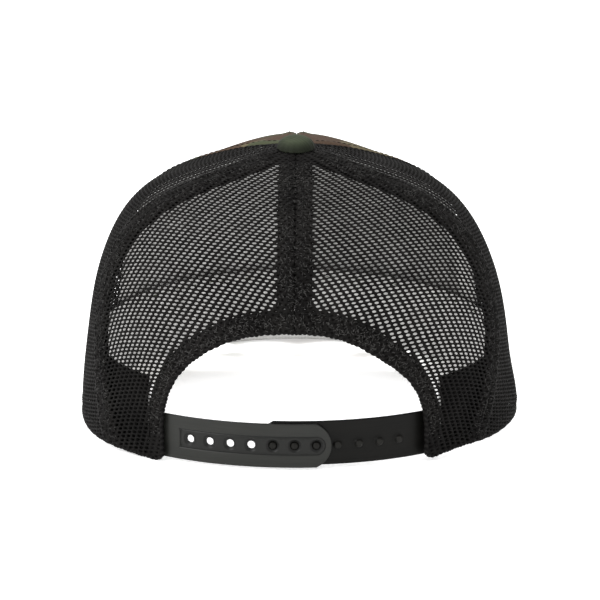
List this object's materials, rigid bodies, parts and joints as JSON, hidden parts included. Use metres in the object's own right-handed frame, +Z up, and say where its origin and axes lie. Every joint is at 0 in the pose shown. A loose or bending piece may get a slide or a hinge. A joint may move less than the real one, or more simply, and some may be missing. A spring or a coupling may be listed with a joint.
{
  "type": "trucker mesh cap",
  "caption": "Six-panel trucker cap with camouflage front panels, black mesh sides and back, curved visor, covered button and a two-piece snap strap across the rear arch.",
  "frame": {"origin": "centre of the standing cap's footprint, on the surface that the visor's sides and the rear hem corners rest on", "axes": "+Z up from that surface; +Y forward, from the rear arch to the visor; +X to the wearer's right. The hem plane is tipped up 4.84 degrees towards the front."},
  "size_m": [0.182, 0.2688, 0.1211],
  "materials": {
    "camo_cloth": "matt printed twill",
    "mesh": "matt knitted polyester mesh",
    "buckram": "matt stiffened open weave",
    "tape": "matt woven tape",
    "sweatband_cloth": "soft brushed cotton",
    "visor_plastic": "matt moulded sheet",
    "button_cloth": "matt cotton twill",
    "steel": "plated pressing",
    "strap_plastic": "semi-matt soft plastic"
  },
  "bodies": {
    "root": {"front_panel_left": "camo_cloth", "front_panel_right": "camo_cloth", "side_panel_left": "mesh", "side_panel_right": "mesh", "back_panel_left": "mesh", "back_panel_right": "mesh", "front_stiffener_left": "buckram", "front_stiffener_right": "buckram", "seam_tape_front": "tape", "seam_tape_front_left": "tape", "seam_tape_front_right": "tape", "seam_tape_rear_left": "tape", "seam_tape_rear_right": "tape", "seam_tape_back": "tape", "arch_band": "tape", "sweatband_backing": "tape", "sweatband_facing": "sweatband_cloth", "visor_board": "visor_plastic", "visor_top_cover": "camo_cloth", "visor_under_cover": "camo_cloth", "button_cover": "button_cloth", "button_shell": "steel", "button_rivet": "steel", "button_washer": "steel", "strap_holed_end": "strap_plastic", "strap_pegged_end": "strap_plastic"},
    "holed_strap": {"strap_holed_half": "strap_plastic"},
    "pegged_strap": {"strap_pegged_half": "strap_plastic"}
  },
  "joints": [
    {"name": "holed_strap_swing", "type": "hinge", "parent": "root", "child": "holed_strap", "pos_m": [-0.0484, -0.11925, 0.01178], "axis": [0, 0.0844, -0.9964], "range_deg": [0, 80], "stiffness_Nm_per_rad": 0.01},
    {"name": "pegged_strap_swing", "type": "hinge", "parent": "root", "child": "pegged_strap", "pos_m": [0.04754, -0.11796, 0.01259], "axis": [0, 0.0844, -0.9964], "range_deg": [0, 60], "stiffness_Nm_per_rad": 0.01}
  ]
}
